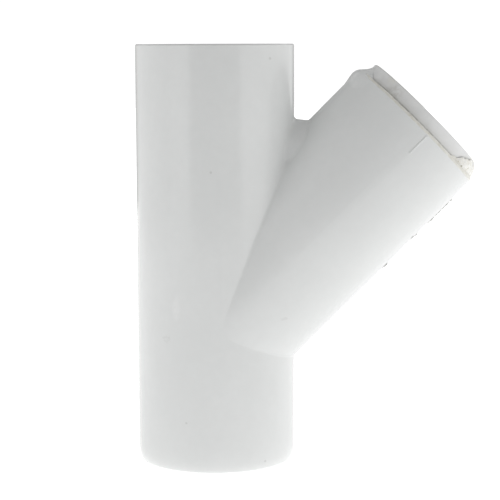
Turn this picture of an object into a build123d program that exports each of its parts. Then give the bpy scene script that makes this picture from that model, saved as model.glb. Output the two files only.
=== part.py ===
"""Lateral wye fitting for nominal 4 inch pipe: a straight run with an equal branch leaving it at 45 degrees.

The run stands on its lower end. The origin is the centre of that end, +Z goes up the run's centre line, and the
branch rises towards +X. The run and the branch are one hollow moulding with plain ends and a rounded web in the
crotch between them. A thin sleeve is cemented into the branch and stands out of it as a spigot, with a fillet of set cement round its root.
"""
import os
from math import cos, radians, sin

from build123d import *

# Driving dimensions, in millimetres and degrees.
RUN_OD = 114.3  # nominal 4 inch pipe
BRANCH_OD = 114.0  # a shade less, so that the crease stays one clean loop
WALL = 6.02  # schedule 40
RUN_LENGTH = 302.0
CROSSING_HEIGHT = 98.5  # where the two centre lines meet, above the run's lower end
BRANCH_LENGTH = 204.0  # from the crossing to the branch's cut end
BRANCH_ANGLE = 45.0  # away from the run's upper half
WEB_RADIUS = 30.0  # of the rounded web that fills the crotch
WEB_HEIGHT = 219.8  # of the web's centre line where it starts, inside the run's wall
WEB_DROP = 6.0  # degrees that it falls towards the branch
WEB_START = 40.0  # how far from the run's centre line it starts
WEB_LENGTH = 38.0
CREASE_RADIUS = 3.0  # blend along the crease between run and branch, and round the web
BORE_CREASE_RADIUS = 1.5  # blend along the crease inside
END_BREAK = 0.8  # chamfer on the outer edge of each plain end
MOUTH_BREAK = 0.5  # chamfer on the inner edge of the run's two mouths
SLEEVE_WALL = 3.0
SLEEVE_DEPTH = 40.0  # cemented length inside the branch
SPIGOT_LENGTH = 11.5  # free length outside it
SPIGOT_LEAD = 0.6  # chamfer that leads a mating pipe on
BEAD_RISE = 2.0  # how far the cement climbs the spigot
BEAD_MARGIN = 0.9  # bare rim of the branch's cut end outside the cement
BEAD_HOLLOW = 12.0  # radius of the cement's hollow face
MARK_LENGTH = 16.5  # raised line that shows how the branch is turned
MARK_WIDTH = 1.6
MARK_HEIGHT = 0.6
MARK_SETBACK = 1.6  # from the branch's cut end
MARK_TURN = 4.5  # degrees from the branch's side, towards its under side

# Worked out from the driving dimensions.
RUN_BORE = RUN_OD - 2 * WALL
BRANCH_BORE = BRANCH_OD - 2 * WALL
SLEEVE_BORE = BRANCH_BORE - 2 * SLEEVE_WALL
BRANCH_DIRECTION = Vector(sin(radians(BRANCH_ANGLE)), 0, cos(radians(BRANCH_ANGLE)))
branch_start = Plane(origin=(0, 0, CROSSING_HEIGHT), x_dir=(0, -1, 0), z_dir=BRANCH_DIRECTION)
branch_end = branch_start.offset(BRANCH_LENGTH)
branch_axis = Axis(branch_end.origin, BRANCH_DIRECTION)
web_direction = Vector(cos(radians(WEB_DROP)), 0, -sin(radians(WEB_DROP)))
web_start = Plane(origin=(WEB_START, 0, WEB_HEIGHT), x_dir=(0, 1, 0), z_dir=web_direction)

# The hollow through both legs, taken out of the moulding in one piece so that its own crease is rounded too.
with BuildPart() as bore:
    with BuildSketch(Plane.XY):
        Circle(RUN_BORE / 2)
    extrude(amount=RUN_LENGTH)
    with BuildSketch(branch_start):
        Circle(BRANCH_BORE / 2)
    extrude(amount=BRANCH_LENGTH)
    fillet(bore.edges().filter_by(GeomType.BSPLINE), radius=BORE_CREASE_RADIUS)

with BuildPart() as wye_body:
    with BuildSketch(Plane.XY):
        Circle(RUN_OD / 2)
    extrude(amount=RUN_LENGTH)
    with BuildSketch(branch_start):
        Circle(BRANCH_OD / 2)
    extrude(amount=BRANCH_LENGTH)
    with BuildSketch(web_start):
        Circle(WEB_RADIUS)
    extrude(amount=WEB_LENGTH)
    fillet(wye_body.edges().filter_by(GeomType.BSPLINE), radius=CREASE_RADIUS)

    run_rims = wye_body.edges().filter_by(GeomType.CIRCLE).group_by(Axis.Z)
    branch_rim = wye_body.faces().sort_by(branch_axis)[-1].edges()
    chamfer(run_rims[0] + run_rims[-1] + branch_rim, length=END_BREAK)
    add(bore.part, mode=Mode.SUBTRACT)
    mouths = [wye_body.faces().sort_by(Axis.Z)[index].inner_wires()[0] for index in (0, -1)]
    chamfer(mouths[0].edges() + mouths[1].edges(), length=MOUTH_BREAK)

    # The raised mark lies along the branch, close to its cut end, half sunk in the wall.
    with BuildSketch(branch_end.offset(-MARK_SETBACK)):
        with Locations(Rot(Z=MARK_TURN) * Pos(BRANCH_OD / 2, 0)):
            Ellipse(MARK_HEIGHT, MARK_WIDTH / 2)
    extrude(amount=-MARK_LENGTH)
wye_body.part.label = "wye_body"

with BuildPart() as branch_sleeve:
    with BuildSketch(branch_end.offset(-SLEEVE_DEPTH)):
        Circle(BRANCH_BORE / 2)
        Circle(SLEEVE_BORE / 2, mode=Mode.SUBTRACT)
    extrude(amount=SLEEVE_DEPTH + SPIGOT_LENGTH)
    spigot_end = branch_sleeve.faces().sort_by(branch_axis)[-1]
    chamfer(spigot_end.edges(), length=SPIGOT_LEAD)
branch_sleeve.part.label = "branch_sleeve"

# The cement fills the corner between the branch's cut end and the spigot, turned round the branch's centre line.
with BuildPart() as cement_bead:
    with BuildSketch(Plane(origin=branch_end.origin, x_dir=(0, -1, 0), z_dir=-branch_end.y_dir)):
        with BuildLine():
            on_rim = Line((BRANCH_BORE / 2, 0), (BRANCH_OD / 2 - BEAD_MARGIN, 0))
            hollow_face = RadiusArc(on_rim @ 1, (BRANCH_BORE / 2, BEAD_RISE), radius=BEAD_HOLLOW)
            Line(hollow_face @ 1, on_rim @ 0)
        make_face()
    revolve(axis=branch_axis)
cement_bead.part.label = "cement_bead"

os.makedirs("parts", exist_ok=True)
export_step(wye_body.part, "parts/wye_body.step")
export_step(branch_sleeve.part, "parts/branch_sleeve.step")
export_step(cement_bead.part, "parts/cement_bead.step")
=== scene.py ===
"""A lateral wye pipe fitting in white plastic.

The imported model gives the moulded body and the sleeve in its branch. This script adds their finishes, the set
cement round the spigot, the smear of cement over the branch's end, the film torn up beside the spigot and the
burrs along the branch. The fitting stands on a white table in soft studio light.
"""
import math

import bpy
from mathutils import Matrix, Vector, noise


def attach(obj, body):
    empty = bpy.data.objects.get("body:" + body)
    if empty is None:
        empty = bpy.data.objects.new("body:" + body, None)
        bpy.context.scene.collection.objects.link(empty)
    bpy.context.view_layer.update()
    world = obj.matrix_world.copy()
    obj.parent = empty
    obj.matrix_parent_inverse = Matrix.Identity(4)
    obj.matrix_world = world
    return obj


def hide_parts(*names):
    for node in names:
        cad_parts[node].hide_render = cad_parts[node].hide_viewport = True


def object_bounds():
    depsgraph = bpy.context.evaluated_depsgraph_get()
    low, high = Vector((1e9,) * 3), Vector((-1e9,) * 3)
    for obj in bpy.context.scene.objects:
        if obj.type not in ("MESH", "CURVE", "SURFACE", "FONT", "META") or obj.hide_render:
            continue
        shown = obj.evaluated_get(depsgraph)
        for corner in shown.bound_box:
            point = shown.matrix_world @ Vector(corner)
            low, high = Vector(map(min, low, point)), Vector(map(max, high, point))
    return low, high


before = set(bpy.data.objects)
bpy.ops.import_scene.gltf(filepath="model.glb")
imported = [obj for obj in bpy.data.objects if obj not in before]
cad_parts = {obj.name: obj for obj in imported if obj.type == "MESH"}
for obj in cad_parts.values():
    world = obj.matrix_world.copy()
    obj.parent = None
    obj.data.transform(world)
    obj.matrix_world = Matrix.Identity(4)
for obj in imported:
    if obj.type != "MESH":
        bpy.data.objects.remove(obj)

cad_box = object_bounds()

# ---- The fitting's own directions and sizes, in metres ----
BRANCH_ANGLE = math.radians(45)
UP_BRANCH = Vector((math.sin(BRANCH_ANGLE), 0, math.cos(BRANCH_ANGLE)))
OVER_BRANCH = Vector((-UP_BRANCH.z, 0, UP_BRANCH.x))  # square to the branch, on its crotch side
FRONT = Vector((0, -1, 0))
CUT_END = Vector((0.144250, 0, 0.242750))  # centre of the branch's cut end
ROUND_BRANCH = Matrix((OVER_BRANCH, FRONT, UP_BRANCH)).transposed().to_4x4()
BRANCH_RADIUS = 0.0570
SPIGOT_RADIUS = 0.05098
SPIGOT_LENGTH = 0.0115


def on_branch(turn, radius, rise):
    """The point at an angle round the branch, from its crotch side to the front, and past the cut end."""
    angle = math.radians(turn)
    return CUT_END + radius * (math.cos(angle) * OVER_BRANCH + math.sin(angle) * FRONT) + rise * UP_BRANCH


def away_from(turn, centre):
    """Degrees round the branch between an angle and a centre, never more than 180."""
    return abs((turn - centre + 180) % 360 - 180)


def fade(distance, inner, outer):
    """1 up to inner, 0 from outer on, smooth between."""
    share = min(max((outer - distance) / (outer - inner), 0.0), 1.0)
    return share * share * (3 - 2 * share)


def along(points, share):
    """A value read from a few evenly spaced ones, straight between them."""
    spot = min(max(share, 0.0), 1.0) * (len(points) - 1)
    first = min(int(spot), len(points) - 2)
    return points[first] + (points[first + 1] - points[first]) * (spot - first)


# ---- Shader kit ----
class Term:
    """A shader value: arithmetic on terms adds the Math nodes that work it out."""

    def __init__(self, finish, socket):
        self.finish, self.socket = finish, socket

    def __add__(self, other):
        return self.finish.maths("ADD", self, other)

    __radd__ = __add__

    def __sub__(self, other):
        return self.finish.maths("SUBTRACT", self, other)

    def __rsub__(self, other):
        return self.finish.maths("SUBTRACT", other, self)

    def __mul__(self, other):
        return self.finish.maths("MULTIPLY", self, other)

    __rmul__ = __mul__


class Finish:
    """One material, put together node by node."""

    def __init__(self, name):
        self.material = bpy.data.materials.new(name)
        self.material.use_nodes = True
        self.tree = self.material.node_tree
        self.tree.nodes.clear()
        self.place = self.node("ShaderNodeTexCoord", output="Object")

    def node(self, kind, sockets=None, output=0, stops=None, **settings):
        """Adds a node: its settings and ramp stops first, then the values or links of its sockets."""
        made = self.tree.nodes.new(kind)
        for name, value in settings.items():
            setattr(made, name, value)
        if stops:
            ramp = made.color_ramp.elements
            while len(ramp) < len(stops):
                ramp.new(0.5)
            for element, (position, tint) in zip(ramp, stops):
                element.position, element.color = position, tint
        for name, value in (sockets or {}).items():
            if isinstance(value, Term):
                self.tree.links.new(value.socket, made.inputs[name])
            else:
                made.inputs[name].default_value = value
        return Term(self, made.outputs[output]) if made.outputs else None

    def maths(self, operation, first, second):
        """A Math node on two values."""
        return self.node("ShaderNodeMath", {0: first, 1: second}, operation=operation)

    def vectors(self, operation, first, second=None, output=0):
        """A Vector Math node. Its number, such as a length, comes out of "Value"."""
        sockets = {0: first} if second is None else {0: first, 1: second}
        return self.node("ShaderNodeVectorMath", sockets, output, operation=operation)

    def cloud(self, scale, detail=2.0, roughness=0.5, distortion=0.0):
        """Smooth noise from 0 to 1, with scale lumps to the metre."""
        return self.node("ShaderNodeTexNoise", {"Vector": self.place, "Scale": scale, "Detail": detail,
                                                "Roughness": roughness, "Distortion": distortion})

    def band(self, value, low, high):
        """0 below low, 1 above high, smooth between. With low above high it falls instead."""
        return self.node("ShaderNodeMapRange", {"Value": value, "From Min": low, "From Max": high},
                         interpolation_type="SMOOTHSTEP")

    def near(self, point, reach, stretch=(1, 1, 1), feather=0.5):
        """1 within feather of the reach of a point, 0 past it. The stretch narrows it along each axis."""
        out = self.vectors("SUBTRACT", self.place, tuple(point))
        out = self.vectors("MULTIPLY", out, stretch)
        return self.band(self.vectors("LENGTH", out, output="Value"), reach, reach * feather)

    def rise(self):
        """How far a point stands past the branch's cut end, in metres."""
        out = self.vectors("SUBTRACT", self.place, tuple(CUT_END))
        return self.vectors("DOT_PRODUCT", out, tuple(UP_BRANCH), "Value")

    def off_branch_line(self):
        """How far a point is from the branch's centre line, in metres."""
        out = self.vectors("SUBTRACT", self.place, tuple(CUT_END))
        aside = self.vectors("CROSS_PRODUCT", out, tuple(UP_BRANCH))
        return self.vectors("LENGTH", aside, output="Value")

    def blend(self, share, first, second):
        """The first colour where share is 0, the second where it is 1."""
        return self.node("ShaderNodeMix", {0: share, 6: first, 7: second}, output=2, data_type="RGBA")

    def bumps(self, strength, depth, height):
        """A normal roughened by a height, with its depth in metres."""
        return self.node("ShaderNodeBump", {"Strength": strength, "Distance": depth, "Height": height})

    def close(self, **sockets):
        """Ends the material with a Principled shader."""
        named = {name.replace("_", " "): value for name, value in sockets.items()}
        self.node("ShaderNodeOutputMaterial", {"Surface": self.node("ShaderNodeBsdfPrincipled", named)})
        return self.material


def all_of(masks):
    """Masks added together."""
    first, *others = masks
    return sum(others, first)


def colour(red, green, blue):
    """An opaque colour."""
    return (red, green, blue, 1.0)


def grey(shade):
    """A colour with no tint."""
    return colour(shade, shade, shade)


# ---- Colours ----
PLASTIC_SHADE = colour(0.785, 0.797, 0.79)
PLASTIC_WHITE = colour(0.825, 0.836, 0.829)
RUBBED_WHITE = colour(0.96, 0.96, 0.955)
HANDLED_GREY = colour(0.55, 0.55, 0.53)
SCUFF_GREY = colour(0.42, 0.42, 0.4)
SPECK_GREY = colour(0.5, 0.5, 0.48)
SLEEVE_SHADE = colour(0.82, 0.824, 0.818)
SLEEVE_WHITE = colour(0.87, 0.874, 0.868)
# Painted shade: the colour that darkens the spigot's root in the joint
JOINT_SHADE_BROWN = colour(0.36, 0.345, 0.31)
CUT_EDGE_GREY = colour(0.38, 0.38, 0.35)
STAIN_BROWN = colour(0.5, 0.48, 0.42)
YELLOWED_WHITE = colour(0.87, 0.85, 0.77)
CEMENT_TINTS = ((0.25, colour(0.66, 0.64, 0.57)), (0.45, colour(0.77, 0.755, 0.69)),
                (0.62, colour(0.83, 0.82, 0.77)), (0.8, colour(0.87, 0.865, 0.84)))
CEMENT_DIRT = colour(0.34, 0.31, 0.26)
# Painted highlight on the smear of cement
HIGHLIGHT_WHITE = colour(0.97, 0.97, 0.965)
# The darkest film tint is partly dirt and partly painted shadow under the film's lifted edge
FILM_TINTS = ((0.3, colour(0.42, 0.4, 0.34)), (0.38, colour(0.78, 0.76, 0.68)),
              (0.5, colour(0.9, 0.89, 0.84)), (0.65, colour(0.95, 0.95, 0.935)))
BURR_DIRT = colour(0.4, 0.4, 0.38)
BURR_WHITE = colour(0.66, 0.66, 0.64)

# ---- Marks ----
# On the run: the place, the reach and how it is narrowed along each axis.
MARK_FEATHER = 0.2
RUBBED_PATCH = ((-0.028, -0.050, 0.118), 0.012, (3.0, 0.5, 1.0))
HANDLED_PATCHES = (  # with the lumps to the metre and the share of each
    ((-0.035, -0.045, 0.095), 0.009, (1.3, 0.5, 1.6), 500, 1.0),
    ((0.046, -0.050, 0.133), 0.007, (1.0, 0.5, 2.0), 420, 1.0),
    ((0.048, -0.050, 0.110), 0.006, (1.0, 0.5, 2.0), 420, 1.0),
    ((-0.002, -0.057, 0.158), 0.010, (1.0, 0.5, 2.0), 420, 0.7))
SPECKS = (((-0.003, -0.057, 0.214), 0.0011), ((0.0385, -0.042, 0.292), 0.0012),
          ((-0.0215, -0.053, 0.036), 0.0010), ((0.0345, -0.0455, 0.006), 0.0011))
SPECK_STRETCH = (1, 0.3, 1)
# Under the branch: degrees round it, the rise past its cut end, the reach and the stretch.
SCUFFS = ((177, -0.032, 0.018, (1.0, 3.4, 1.0)), (174, -0.087, 0.005, (1.0, 1.6, 1.0)))
# On the spigot: degrees round the branch, the rise past its cut end, the reach and the feather.
STAIN = (52, 0.004, 0.009, 0.2)
YELLOWED_PATCHES = ((42, 0.010, 0.006, 0.2), (150, 0.004, 0.016, 0.3))
JOINT_SHADE_RISE = 0.0018  # how far up the spigot the painted shade in the joint is at its darkest


# ---- Finishes ----
def white_plastic():
    """The moulded body: satin white, faintly mottled, handled and a little scuffed."""
    finish = Finish("white_plastic")
    mottle = finish.cloud(14, detail=3)
    fine = finish.cloud(160, detail=4, roughness=0.6)
    base = finish.blend(finish.band(mottle * 0.7 + fine * 0.3, 0.3, 0.72), PLASTIC_SHADE, PLASTIC_WHITE)
    rubbed = finish.near(*RUBBED_PATCH, MARK_FEATHER) * finish.cloud(300, detail=3)
    base = finish.blend(rubbed * 0.5, base, RUBBED_WHITE)
    handled = all_of(finish.near(point, reach, stretch, MARK_FEATHER) * finish.cloud(grain, detail=4) * share
                     for point, reach, stretch, grain, share in HANDLED_PATCHES)
    base = finish.blend(finish.band(handled, 0.3, 0.62) * 0.22, base, HANDLED_GREY)
    scuffed = all_of(finish.near(on_branch(turn, BRANCH_RADIUS, rise), reach, stretch, 0.3)
                     for turn, rise, reach, stretch in SCUFFS)
    scratches = finish.band(finish.cloud(520, detail=4, roughness=0.7, distortion=1.0), 0.46, 0.62)
    base = finish.blend(scuffed * scratches * 0.5, base, SCUFF_GREY)
    specks = all_of(finish.near(point, size, SPECK_STRETCH) for point, size in SPECKS)
    base = finish.blend(specks * 0.35, base, SPECK_GREY)
    shape = finish.bumps(0.05, 0.0002, finish.cloud(2600) * 0.25 + finish.cloud(55))
    return finish.close(Base_Color=base, Roughness=0.14 + 0.05 * mottle + 0.03 * fine, Normal=shape, IOR=1.53)


def sleeve_plastic():
    """The sleeve: the same plastic, cut by hand, with painted shade in the joint and dulled cement wiped round
    it.
    """
    finish = Finish("sleeve_plastic")
    rise = finish.rise()
    outside = finish.band(finish.off_branch_line(), SPIGOT_RADIUS - 0.0012, SPIGOT_RADIUS - 0.0006)
    wiped = finish.cloud(60, detail=4, roughness=0.65, distortion=0.6)
    streaks = finish.cloud(220, detail=4, roughness=0.6, distortion=0.8)

    def on_spigot(turn, height, reach, feather):
        return finish.near(on_branch(turn, SPIGOT_RADIUS, height), reach, feather=feather)

    base = finish.blend(finish.band(wiped, 0.35, 0.7), SLEEVE_SHADE, SLEEVE_WHITE)
    # Painted shade: the spigot's root is darkened in streaks where the joint with the cement lies in shade
    joint_shade = finish.band(rise, JOINT_SHADE_RISE + 0.0011, JOINT_SHADE_RISE) * finish.band(streaks, 0.2, 0.6) * outside
    base = finish.blend(joint_shade * 0.6, base, JOINT_SHADE_BROWN)
    cut_edge = (finish.band(rise, SPIGOT_LENGTH - 0.0009, SPIGOT_LENGTH - 0.0002)
                * on_spigot(25, SPIGOT_LENGTH, 0.05, 0.5))
    base = finish.blend(cut_edge * 0.5, base, CUT_EDGE_GREY)
    stain = on_spigot(*STAIN) * finish.band(streaks, 0.3, 0.7) * outside
    base = finish.blend(stain * 0.5, base, STAIN_BROWN)
    yellowed = all_of(on_spigot(*patch) for patch in YELLOWED_PATCHES) * finish.band(streaks, 0.3, 0.6)
    base = finish.blend(yellowed * 0.5, base, YELLOWED_WHITE)
    shape = finish.bumps(0.2, 0.0002, finish.cloud(1500, detail=3) * 0.4 + wiped)
    return finish.close(Base_Color=base, Roughness=0.34 + 0.16 * wiped, Normal=shape, IOR=1.53)


def old_cement():
    """Set solvent cement: yellowed, darker in patches and flecked with dirt."""
    finish = Finish("old_cement")
    lumps = finish.cloud(240, detail=4, roughness=0.6)
    dirt = finish.cloud(700, detail=3)
    base = finish.node("ShaderNodeValToRGB", {"Fac": lumps}, stops=CEMENT_TINTS)
    base = finish.blend(finish.band(dirt, 0.62, 0.78) * 0.35, base, CEMENT_DIRT)
    shape = finish.bumps(0.3, 0.0003, lumps + dirt * 0.4)
    return finish.close(Base_Color=base, Roughness=0.3 + 0.25 * dirt, Normal=shape, IOR=1.48)


def smeared_cement():
    """Cement smeared over the branch's end while wet: as white as the plastic, with a painted highlight as a
    paler streak.
    """
    finish = Finish("smeared_cement")
    lumps = finish.cloud(110)
    base = finish.blend(finish.band(lumps, 0.3, 0.7), PLASTIC_SHADE, PLASTIC_WHITE)
    # Painted highlight: a paler streak inside the branch's outline on the crotch side, where the smear catches
    # the light
    painted_highlight = finish.near(on_branch(10, BRANCH_RADIUS, -0.007), 0.008, feather=0.1)
    base = finish.blend(painted_highlight * (0.25 + 0.4 * lumps), base, HIGHLIGHT_WHITE)
    shape = finish.bumps(0.06, 0.0003, lumps)
    return finish.close(Base_Color=base, Roughness=0.2 + 0.08 * lumps, Normal=shape, IOR=1.5)


def torn_film():
    """Film of cement and plastic skin, bleached where it has been bent; its dark streaks are partly dirt in its
    tears and partly painted shadow under its lifted edge.
    """
    finish = Finish("torn_film")
    streaks = finish.cloud(300, detail=4, roughness=0.6, distortion=1.4)
    # Dark streaks: partly dirt in the tears, partly painted shadow under the lifted edge
    base = finish.node("ShaderNodeValToRGB", {"Fac": streaks}, stops=FILM_TINTS)
    shape = finish.bumps(0.4, 0.0004, streaks)
    return finish.close(Base_Color=base, Roughness=0.3 + 0.2 * streaks, Normal=shape, IOR=1.48)


def scuffed_burr():
    """Rough flecks of plastic that have picked up dirt."""
    finish = Finish("scuffed_burr")
    dirt = finish.cloud(900, detail=3)
    base = finish.blend(finish.band(dirt, 0.35, 0.65), BURR_DIRT, BURR_WHITE)
    shape = finish.bumps(0.3, 0.0003, dirt)
    return finish.close(Base_Color=base, Roughness=0.5 + 0.2 * dirt, Normal=shape)


def table_white():
    """The white table, lit from below, with a painted pool of light that makes it brightest round the fitting's
    foot.
    """
    finish = Finish("table_white")
    # Painted pool of light: the table glows brighter round the fitting's foot
    painted_light_pool = finish.blend(finish.near((0, 0, 0), 0.066, feather=0.93), grey(0.5), grey(0.76))
    base = finish.blend(finish.cloud(1.5), grey(0.38), grey(0.4))
    return finish.close(Base_Color=base, Roughness=0.7, Emission_Color=painted_light_pool, Emission_Strength=1.7)


def even_shade(name, shade):
    """A dull panel's finish: nothing but its own even shade."""
    return Finish(name).close(Base_Color=grey(0), Roughness=1.0, Specular_IOR_Level=0.0,
                              Emission_Color=grey(shade), Emission_Strength=1.0)


# ---- Modelling helpers ----
def nothing_selected():
    """Leaves edit mode and deselects everything."""
    if bpy.context.object and bpy.context.object.mode != "OBJECT":
        bpy.ops.object.mode_set(mode="OBJECT")
    bpy.ops.object.select_all(action="DESELECT")


def only_selected(piece):
    """Selects one piece alone and makes it the active one."""
    nothing_selected()
    piece.select_set(True)
    bpy.context.view_layer.objects.active = piece


def finished(piece, name, material, smooth):
    """Puts a piece's place into its mesh, gives it its finish and lets it ride on the fitting."""
    only_selected(piece)
    bpy.ops.object.transform_apply(location=True, rotation=True, scale=True)
    bpy.ops.object.shade_smooth_by_angle(angle=math.radians(smooth))
    piece.name = piece.data.name = name
    piece.data.materials.clear()
    piece.data.materials.append(material)
    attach(piece, "root")
    return piece


def applied(piece, kind, **settings):
    """Adds a modifier to a piece and applies it."""
    only_selected(piece)
    modifier = piece.modifiers.new(kind.lower(), kind)
    for name, value in settings.items():
        setattr(modifier, name, value)
    bpy.ops.object.modifier_apply(modifier=modifier.name)
    return piece


def laid_round_branch(across, up, place):
    """A grid whose points go where place(u, v) says, u running round the branch and v away from its root."""
    nothing_selected()
    bpy.ops.mesh.primitive_grid_add(x_subdivisions=across, y_subdivisions=up, size=1)
    sheet = bpy.context.object
    for vertex in sheet.data.vertices:
        vertex.co = place(vertex.co.x + 0.5, vertex.co.y + 0.5)
    return sheet


def ragged(turn, scale, seed):
    """Unevenness round the branch, about -0.5 to 0.5, the same each run."""
    angle = math.radians(turn)
    return noise.noise(Vector((math.cos(angle) * scale, math.sin(angle) * scale, seed)))


# ---- The set cement in the joint ----
CEMENT_OUTER, CEMENT_INNER = BRANCH_RADIUS - 0.0001, SPIGOT_RADIUS - 0.0003
CEMENT_RISES = (0.0, 0.6, 0.95, 1.0, 1.0, 0.9, 0.75, 0.6, 0.5)  # of its height, from its outer edge inwards
CEMENT_RINGS = len(CEMENT_RISES)
CEMENT_FOOT = -0.00085  # where it starts on the bevel of the branch's end
CEMENT_HEIGHT, CEMENT_LUMP = 0.0014, 0.0013
LUMP_TURN = 168


def cement_height(turn):
    """How high the cement stands on the branch's end: thin all round, lumpy under the branch."""
    height = CEMENT_HEIGHT + 0.0006 * ragged(turn, 3.1, 4.2) + 0.0003 * ragged(turn, 14, 1.7)
    return height + CEMENT_LUMP * fade(away_from(turn, LUMP_TURN), 5, 30)


def set_cement():
    """The bead of cement, ring by ring from the branch's bevel to the spigot's wall."""
    nothing_selected()
    bpy.ops.mesh.primitive_circle_add(vertices=288, radius=CEMENT_OUTER, fill_type="NOTHING")
    bead = bpy.context.object
    bpy.ops.object.mode_set(mode="EDIT")
    bpy.ops.mesh.select_all(action="SELECT")
    last = CEMENT_OUTER
    for ring in range(1, CEMENT_RINGS):
        radius = CEMENT_OUTER + (CEMENT_INNER - CEMENT_OUTER) * ring / (CEMENT_RINGS - 1)
        bpy.ops.mesh.extrude_region_move(TRANSFORM_OT_translate={"value": (0, 0, 0.0001)})
        bpy.ops.transform.resize(value=(radius / last, radius / last, 1))
        last = radius
    bpy.ops.mesh.select_all(action="SELECT")
    bpy.ops.mesh.flip_normals()  # the extrusion leaves them facing into the branch
    bpy.ops.object.mode_set(mode="OBJECT")
    for vertex in bead.data.vertices:
        radius = math.hypot(vertex.co.x, vertex.co.y)
        turn = math.degrees(math.atan2(vertex.co.y, vertex.co.x)) % 360
        climb = along(CEMENT_RISES, (CEMENT_OUTER - radius) / (CEMENT_OUTER - CEMENT_INNER))
        vertex.co.z = CEMENT_FOOT + (cement_height(turn) - CEMENT_FOOT) * climb
    bead.matrix_world = Matrix.Translation(CUT_END) @ ROUND_BRANCH
    return bead


bead = finished(set_cement(), "set_cement", old_cement(), 60)
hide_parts("cement_bead")

# ---- The smear over the branch's end on the crotch side ----
# Each list runs from its lower edge to the spigot's wall, in metres: where its surface is at its thickest,
# and where it would lie if it had no thickness.
SMEAR_RISES = (-0.0170, -0.0125, -0.0085, -0.0048, -0.0016, 0.0008, 0.0028, 0.0048, 0.0065, 0.0085)
SMEAR_THIN_RISES = (-0.0170, -0.0125, -0.0085, -0.0048, -0.0016, -0.0003, -0.0002, -0.0002, -0.0002, -0.0002)
SMEAR_RADII = (0.0567, 0.0572, 0.0580, 0.0585, 0.0581, 0.0567, 0.0548, 0.0529, 0.05175, 0.05085)
SMEAR_THIN_RADII = (0.0566, 0.0566, 0.0566, 0.0566, 0.0566, 0.0562, 0.0548, 0.0535, 0.0522, 0.05085)
SMEAR_HALF_TURN = 50
SMEAR_FULLEST = 1.05


def smear_point(u, v):
    """A point of the smear: u across its half turns, v from its lower edge to the spigot."""
    turn = (u * 2 - 1) * SMEAR_HALF_TURN
    full = fade(abs(turn), 8, SMEAR_HALF_TURN - 20 * v) * (1 + 0.12 * ragged(turn, 5, 2.3))
    full = min(full, SMEAR_FULLEST)
    radius = along(SMEAR_THIN_RADII, v) + (along(SMEAR_RADII, v) - along(SMEAR_THIN_RADII, v)) * full
    rise = along(SMEAR_THIN_RISES, v) + (along(SMEAR_RISES, v) - along(SMEAR_THIN_RISES, v)) * full
    return on_branch(turn, radius, rise)


smear = laid_round_branch(88, 36, smear_point)
smear = applied(smear, "SMOOTH", factor=0.5, iterations=2)
smear = applied(smear, "SOLIDIFY", thickness=0.0006, offset=-1)
finished(smear, "cement_smear", smeared_cement(), 60)

# ---- The film of cement and skin torn up beside the spigot, under the branch ----
FILM_REACH = (cad_box[1].x - CUT_END.x) / UP_BRANCH.x - 0.0006  # its radius and its rise, added up, at most
FILM_TURNS = (116, 214)
FILM_MIDDLE = 166
FILM_ROOT = 0.0006  # its rise where it leaves the cement
FILM_GAP = 0.0002  # between it and the spigot
FILM_RISES = (0.0006, 0.0022, 0.0042, 0.0060, 0.0075, 0.0088, 0.0098)
FILM_LIFTS = (0.0036, 0.0036, 0.0032, 0.0028, 0.0023, 0.0016, 0.0009)


def film_point(u, v):
    """A point of the film: u round the branch, v from its root to its torn edge."""
    turn = FILM_TURNS[0] + (FILM_TURNS[1] - FILM_TURNS[0]) * u
    swell = fade(away_from(turn, FILM_MIDDLE), 20, 50)
    tear = 1 + 0.35 * ragged(turn, 17, 5.5) * v
    rise = FILM_ROOT + (along(FILM_RISES, v) - FILM_ROOT) * swell * tear
    fold = 1 + 0.45 * noise.noise(Vector((u * 9, v * 3, 0.6)))
    lift = FILM_GAP + along(FILM_LIFTS, v) * swell * fold
    return on_branch(turn, SPIGOT_RADIUS + min(lift, FILM_REACH - SPIGOT_RADIUS - rise), rise)


film = laid_round_branch(120, 16, film_point)
film = applied(film, "SOLIDIFY", thickness=0.0004, offset=0)
finished(film, "torn_film", torn_film(), 50)

# ---- Burrs along the underside of the branch ----
# Degrees round the branch, then metres: the distance below its cut end, the length along it and the height.
BURRS = ((175, 0.0190, 0.0030, 0.0009), (180, 0.0215, 0.0040, 0.0006), (172, 0.0235, 0.0050, 0.0007),
         (177, 0.0270, 0.0065, 0.0010), (174, 0.0310, 0.0040, 0.0006), (178, 0.0330, 0.0070, 0.0010),
         (183, 0.0350, 0.0030, 0.0004), (175, 0.0385, 0.0065, 0.0010), (178, 0.0420, 0.0045, 0.0008),
         (181, 0.0450, 0.0030, 0.0005), (177, 0.0545, 0.0045, 0.0009), (163, 0.0580, 0.0030, 0.0005),
         (171, 0.0860, 0.0045, 0.0008), (176, 0.0885, 0.0035, 0.0006))
BURR_HALF_WIDTH = 0.0007


def burr(turn, below, length, height, seed):
    """One ragged fleck, longer along the branch, half sunk into its wall."""
    nothing_selected()
    bpy.ops.mesh.primitive_cube_add(size=2)
    fleck = bpy.context.object
    bpy.ops.object.mode_set(mode="EDIT")
    bpy.ops.mesh.select_all(action="SELECT")
    bpy.ops.mesh.subdivide(number_cuts=4)
    bpy.ops.object.mode_set(mode="OBJECT")
    for vertex in fleck.data.vertices:
        out = vertex.co.normalized()
        rough = 1 + 0.55 * noise.noise(out * 2.6 + Vector((seed * 7.3, 0, 0)))
        taper = 1 - 0.5 * abs(out.z) ** 2
        stretched = Vector((out.x * height * taper, out.y * BURR_HALF_WIDTH * taper, out.z * length / 2))
        vertex.co = stretched * rough
    spin = Matrix.Rotation(math.radians(turn), 4, "Z")
    fleck.matrix_world = Matrix.Translation(on_branch(turn, BRANCH_RADIUS, -below)) @ ROUND_BRANCH @ spin
    return fleck


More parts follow.
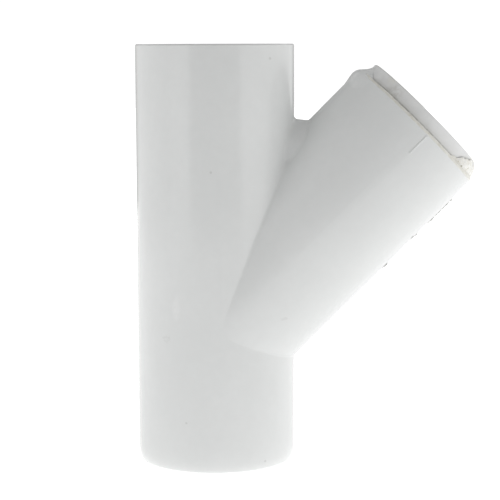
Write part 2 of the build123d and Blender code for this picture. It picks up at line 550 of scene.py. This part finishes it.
flecks = [burr(*place, seed) for seed, place in enumerate(BURRS)]
only_selected(flecks[0])
for fleck in flecks:
    fleck.select_set(True)
bpy.ops.object.join()
finished(flecks[0], "underside_burrs", scuffed_burr(), 40)

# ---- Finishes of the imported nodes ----
for node, material in (("wye_body", white_plastic()), ("branch_sleeve", sleeve_plastic())):
    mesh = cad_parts[node].data
    mesh.materials.clear()
    mesh.materials.append(material)

# ---- Table and light ----
TABLE_SIZE = 12
DAYLIGHT = 1.06
# Dull panels out of sight, each keeping the white surroundings off one side of the fitting: size and place in
# metres, lean and turn in degrees, and shade.
FLAGS = {"flag_over": ((2.2, 2.2), (0.0, 0.0, 1.1), (0, 0), 0.51),
         "flag_front": ((1.5, 1.4), (0.0, -1.05, 0.74), (90, 0), 0.16),
         "flag_left": ((2.8, 2.4), (-1.25, 0.8, 0.72), (90, 90), 0.8),
         "flag_back": ((1.5, 1.4), (0.0, 1.3, 0.74), (90, 0), 0.4)}

nothing_selected()
bpy.ops.mesh.primitive_plane_add(size=TABLE_SIZE, location=(0, 0, cad_box[0].z))
table = bpy.context.object
table.name = "table"
table.data.materials.append(table_white())

world = bpy.data.worlds.new("studio")
bpy.context.scene.world = world
world.use_nodes = True
world.node_tree.nodes["Background"].inputs["Color"].default_value = grey(1)
world.node_tree.nodes["Background"].inputs["Strength"].default_value = DAYLIGHT

for name, (size, place, (lean, turn), shade) in FLAGS.items():
    nothing_selected()
    rotation = (math.radians(lean), 0, math.radians(turn))
    bpy.ops.mesh.primitive_plane_add(size=1, location=place, rotation=rotation)
    panel = bpy.context.object
    panel.name = name
    panel.scale = (*size, 1)
    panel.data.materials.append(even_shade(name, shade))
    panel.visible_camera = False

bpy.context.scene.view_settings.view_transform = "Standard"

# ---- Camera ----
CAMERA_PLACE = Vector((0.02498598, -1.15528725, 0.30523815))  # before the turn about the run's centre line
CAMERA_TURN, CAMERA_PITCH, CAMERA_ROLL = math.radians(-1.11), math.radians(7.533), math.radians(-0.18)
LENS, SENSOR = 114.7392, 36  # millimetres


def camera():
    """Stands just above the fitting's own height, over a metre away, with a long lens."""
    right = Vector((1, 0, 0))
    ahead = Vector((0, math.cos(CAMERA_PITCH), -math.sin(CAMERA_PITCH)))
    above = Vector((0, math.sin(CAMERA_PITCH), math.cos(CAMERA_PITCH)))
    tilted_right = math.cos(CAMERA_ROLL) * right + math.sin(CAMERA_ROLL) * above
    tilted_above = math.cos(CAMERA_ROLL) * above - math.sin(CAMERA_ROLL) * right
    body = bpy.data.cameras.new("camera")
    body.lens, body.sensor_width = LENS, SENSOR
    body.clip_start, body.clip_end = 0.05, 50
    holder = bpy.data.objects.new("camera", body)
    bpy.context.scene.collection.objects.link(holder)
    facing = Matrix((tilted_right, tilted_above, -ahead)).transposed().to_4x4()
    holder.matrix_world = Matrix.Rotation(CAMERA_TURN, 4, "Z") @ Matrix.Translation(CAMERA_PLACE) @ facing
    return holder


bpy.context.scene.camera = camera()

bpy.context.view_layer.update()
